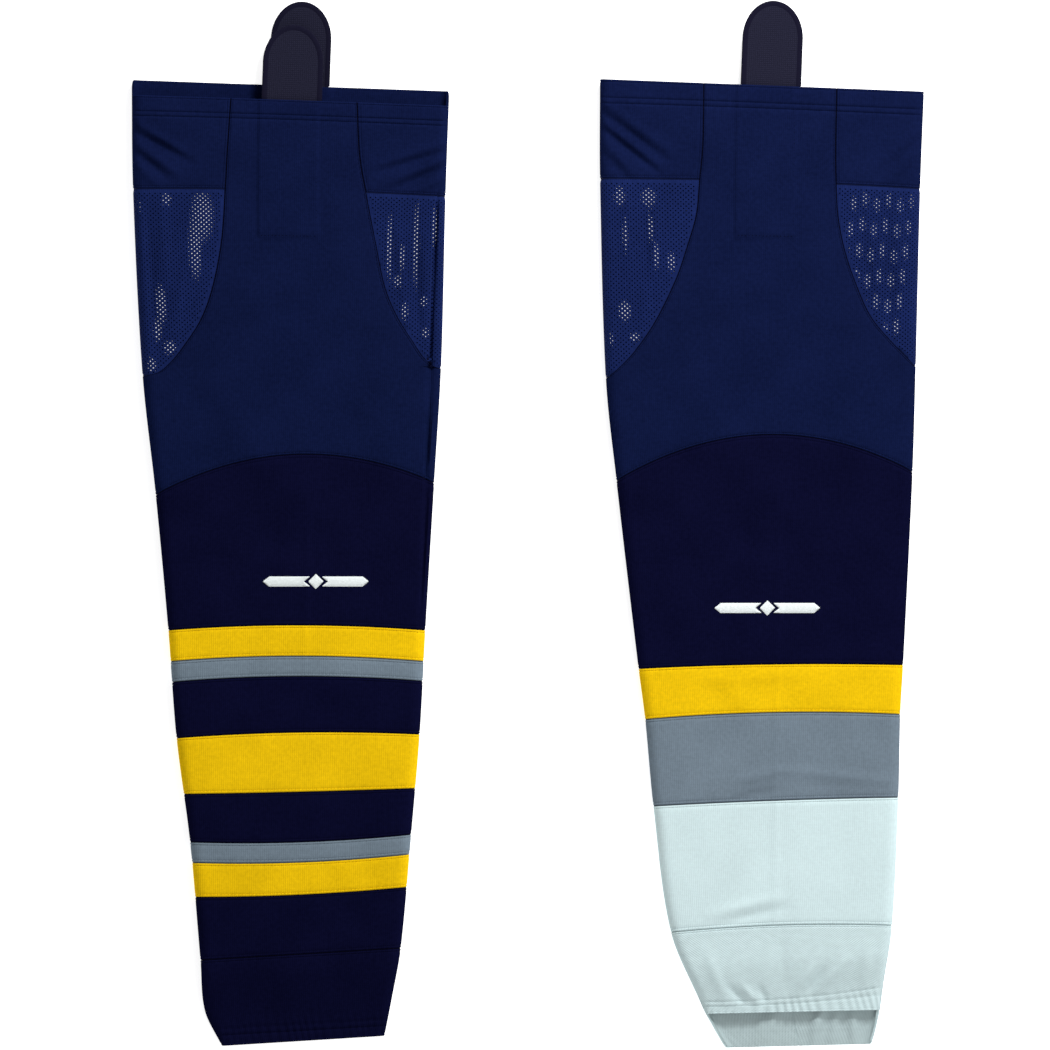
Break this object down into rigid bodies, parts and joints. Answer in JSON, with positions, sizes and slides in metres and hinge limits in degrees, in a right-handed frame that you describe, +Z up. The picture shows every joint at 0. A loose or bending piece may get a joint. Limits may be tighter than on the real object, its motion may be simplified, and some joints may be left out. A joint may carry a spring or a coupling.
{
  "type": "pair of ice hockey socks",
  "caption": "Flat-laid knitted leg tubes for ice hockey with perforated side inserts, knee seams, colour bands, elastic ankles and hook-and-loop thigh tabs.",
  "frame": {"origin": "middle of the bounding box on the surface that both socks lie on", "axes": "+Y from the ankles towards the thigh openings and tabs, +X from the striped sock to the colour-block sock, +Z up out of the surface"},
  "size_m": [0.6284, 0.8308, 0.0168],
  "materials": {
    "upper_knit": "matte knit, navy",
    "shin_knit": "matte knit, deep navy",
    "mesh_knit": "perforated airy knit, brighter navy",
    "gold_knit": "matte knit, gold",
    "grey_knit": "matte knit, cool grey",
    "white_knit": "matte knit, white",
    "white_cuff_knit": "fine birdseye knit, white",
    "hook_and_loop_tape": "woven hook-and-loop tape, charcoal",
    "tape_binding": "overlocked edge, near black",
    "seam_thread": "overlock and coverstitch thread",
    "elastic": "woven elastic, white",
    "embroidery": "satin-stitched embroidery, white"
  },
  "bodies": {
    "striped_sock": {"striped_front_panel": "upper_knit", "striped_back_panel": "upper_knit", "striped_left_yoke": "upper_knit", "striped_right_yoke": "upper_knit", "striped_left_mesh": "mesh_knit", "striped_right_mesh": "mesh_knit", "striped_top_hem_facing": "upper_knit", "striped_shin_panel": "shin_knit", "striped_gold_stripe_upper": "gold_knit", "striped_grey_stripe_upper": "grey_knit", "striped_navy_band_upper": "shin_knit", "striped_gold_stripe_middle": "gold_knit", "striped_navy_band_lower": "shin_knit", "striped_grey_stripe_lower": "grey_knit", "striped_gold_stripe_lower": "gold_knit", "striped_ankle_panel": "shin_knit", "striped_ankle_cuff": "shin_knit", "striped_ankle_hem_facing": "shin_knit", "striped_ankle_elastic": "elastic", "striped_seam_threads": "seam_thread", "striped_back_seam": "seam_thread", "striped_badge": "embroidery", "striped_front_tab_tail": "hook_and_loop_tape", "striped_back_tab_tail": "hook_and_loop_tape"},
    "striped_front_tab": {"striped_front_tab": "hook_and_loop_tape", "striped_front_tab_binding": "tape_binding"},
    "striped_back_tab": {"striped_back_tab": "hook_and_loop_tape", "striped_back_tab_binding": "tape_binding"},
    "block_sock": {"block_front_panel": "upper_knit", "block_back_panel": "upper_knit", "block_left_yoke": "upper_knit", "block_right_yoke": "upper_knit", "block_left_mesh": "mesh_knit", "block_right_mesh": "mesh_knit", "block_top_hem_facing": "upper_knit", "block_shin_panel": "shin_knit", "block_gold_stripe": "gold_knit", "block_grey_band": "grey_knit", "block_white_band": "white_knit", "block_ankle_cuff": "white_cuff_knit", "block_ankle_hem_facing": "white_cuff_knit", "block_ankle_elastic": "elastic", "block_seam_threads": "seam_thread", "block_back_seam": "seam_thread", "block_badge": "embroidery", "block_front_tab_tail": "hook_and_loop_tape", "block_back_tab_tail": "hook_and_loop_tape"},
    "block_front_tab": {"block_front_tab": "hook_and_loop_tape", "block_front_tab_binding": "tape_binding"},
    "block_back_tab": {"block_back_tab": "hook_and_loop_tape", "block_back_tab_binding": "tape_binding"}
  },
  "joints": [
    {"name": "striped_front_tab_fold", "type": "hinge", "parent": "striped_sock", "child": "striped_front_tab", "pos_m": [-0.187, 0.3367, 0.0164], "axis": [0.9994, -0.0357, 0], "range_deg": [0, 170]},
    {"name": "striped_back_tab_fold", "type": "hinge", "parent": "striped_sock", "child": "striped_back_tab", "pos_m": [-0.181, 0.34845, -0.0004], "axis": [0.9994, -0.0357, 0], "range_deg": [-170, 0]},
    {"name": "block_sock_lift", "type": "slide", "parent": "striped_sock", "child": "block_sock", "axis": [0, 0, 1], "range_m": [0, 0.15]},
    {"name": "block_front_tab_fold", "type": "hinge", "parent": "block_sock", "child": "block_front_tab", "pos_m": [0.193, 0.34843, 0.0164], "axis": [0.9992, -0.0389, 0], "range_deg": [0, 170]},
    {"name": "block_back_tab_fold", "type": "hinge", "parent": "block_sock", "child": "block_back_tab", "pos_m": [0.193, 0.34843, -0.0004], "axis": [0.9992, -0.0389, 0], "range_deg": [-170, 0]}
  ]
}
